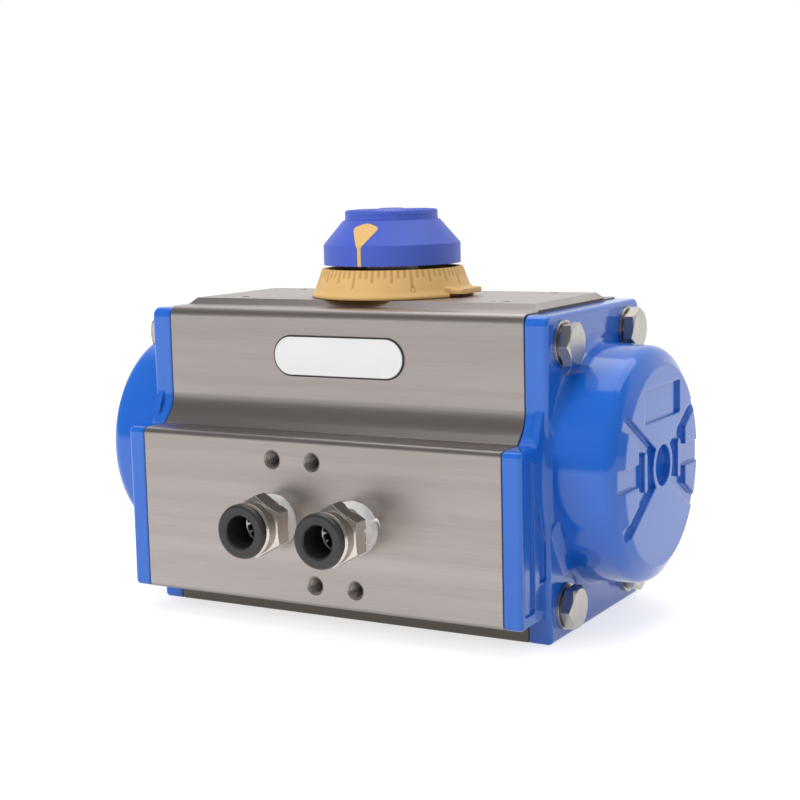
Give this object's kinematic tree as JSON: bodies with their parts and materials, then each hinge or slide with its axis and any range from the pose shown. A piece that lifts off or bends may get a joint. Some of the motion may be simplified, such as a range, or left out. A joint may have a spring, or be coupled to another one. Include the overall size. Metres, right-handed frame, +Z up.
{
  "type": "pneumatic valve actuator",
  "caption": "Double-acting rack-and-pinion pneumatic actuator for quarter-turn valves, with domed end caps, a dial position indicator on top and push-in air fittings on the front.",
  "frame": {"origin": "On the valve mounting face, where the pinion axis meets it.", "axes": "+X along the cylinder, to the right as the port face is seen; -Y the way the port face looks; +Z up the pinion to the indicator."},
  "size_m": [0.155, 0.103, 0.1074],
  "materials": {
    "housing_anodised": "extruded aluminium, blasted and anodised warm grey, satin",
    "cap_blue": "die-cast aluminium, glossy blue powder coat",
    "zinc_steel": "steel, bright zinc plating",
    "nickel_brass": "turned brass, nickel plated",
    "spring_steel": "stainless spring steel",
    "pinion_nickel": "turned steel, nickel plated, satin",
    "piston_aluminium": "die-cast aluminium, machined",
    "seal_rubber": "black nitrile rubber",
    "bearing_plastic": "natural acetal, smooth",
    "yellow_plastic": "moulded yellow plastic, semi-gloss",
    "blue_plastic": "moulded blue plastic, semi-gloss",
    "grey_plastic": "moulded dark grey plastic",
    "sealing_tape": "white thread sealing tape",
    "badge_enamel": "printed metal plate, bare"
  },
  "bodies": {
    "housing": {"badge_plate": "badge_enamel", "bearing_lower": "bearing_plastic", "bearing_upper": "bearing_plastic", "body": "housing_anodised", "cap_bolts_left": "zinc_steel", "cap_bolts_right": "zinc_steel", "cap_washers_left": "zinc_steel", "cap_washers_right": "zinc_steel", "end_cap_left": "cap_blue", "end_cap_right": "cap_blue", "end_cap_seal_left": "seal_rubber", "end_cap_seal_right": "seal_rubber", "fitting_body_left": "nickel_brass", "fitting_body_right": "nickel_brass", "grip_ring_left": "spring_steel", "grip_ring_right": "spring_steel", "indicator_base": "yellow_plastic", "stop_nuts": "zinc_steel", "stop_screws": "zinc_steel", "stop_washers": "zinc_steel", "thread_tape_left": "sealing_tape", "thread_tape_right": "sealing_tape", "thrust_washer_inner": "bearing_plastic", "thrust_washer_outer": "bearing_plastic", "tube_seal_left": "seal_rubber", "tube_seal_right": "seal_rubber"},
    "pinion": {"pinion": "pinion_nickel", "stop_cam": "piston_aluminium", "pinion_ring_lower": "seal_rubber", "pinion_ring_upper": "seal_rubber", "pinion_washer": "zinc_steel", "retaining_ring": "spring_steel", "indicator_rotor": "blue_plastic", "indicator_pointer": "yellow_plastic", "indicator_screw": "zinc_steel", "indicator_plug": "blue_plastic"},
    "piston_left": {"piston_left": "piston_aluminium", "piston_ring_left": "seal_rubber", "piston_guide_ring_left": "bearing_plastic", "rack_guide_shoe_left": "bearing_plastic"},
    "piston_right": {"piston_right": "piston_aluminium", "piston_ring_right": "seal_rubber", "piston_guide_ring_right": "bearing_plastic", "rack_guide_shoe_right": "bearing_plastic"},
    "release_ring_left": {"release_ring_left": "grey_plastic"},
    "release_ring_right": {"release_ring_right": "grey_plastic"}
  },
  "joints": [
    {"name": "pinion_turn", "type": "hinge", "parent": "housing", "child": "pinion", "pos_m": [0, 0, 0], "axis": [0, 0, 1], "range_deg": [0, 90]},
    {"name": "piston_right_slide", "type": "slide", "parent": "housing", "child": "piston_right", "axis": [1, 0, 0], "range_m": [0, 0.01571]},
    {"name": "piston_left_slide", "type": "slide", "parent": "housing", "child": "piston_left", "axis": [-1, 0, 0], "range_m": [0, 0.01571]},
    {"name": "release_ring_left_push", "type": "slide", "parent": "housing", "child": "release_ring_left", "axis": [0, 1, 0], "range_m": [0, 0.0008], "stiffness_N_per_m": 500, "springref_m": -0.0004},
    {"name": "release_ring_right_push", "type": "slide", "parent": "housing", "child": "release_ring_right", "axis": [0, 1, 0], "range_m": [0, 0.0008], "stiffness_N_per_m": 500, "springref_m": -0.0004}
  ],
  "couplings": [
    {"joint": "piston_right_slide", "follows": "pinion_turn", "m_per_rad": 0.01},
    {"joint": "piston_left_slide", "follows": "pinion_turn", "m_per_rad": 0.01}
  ]
}
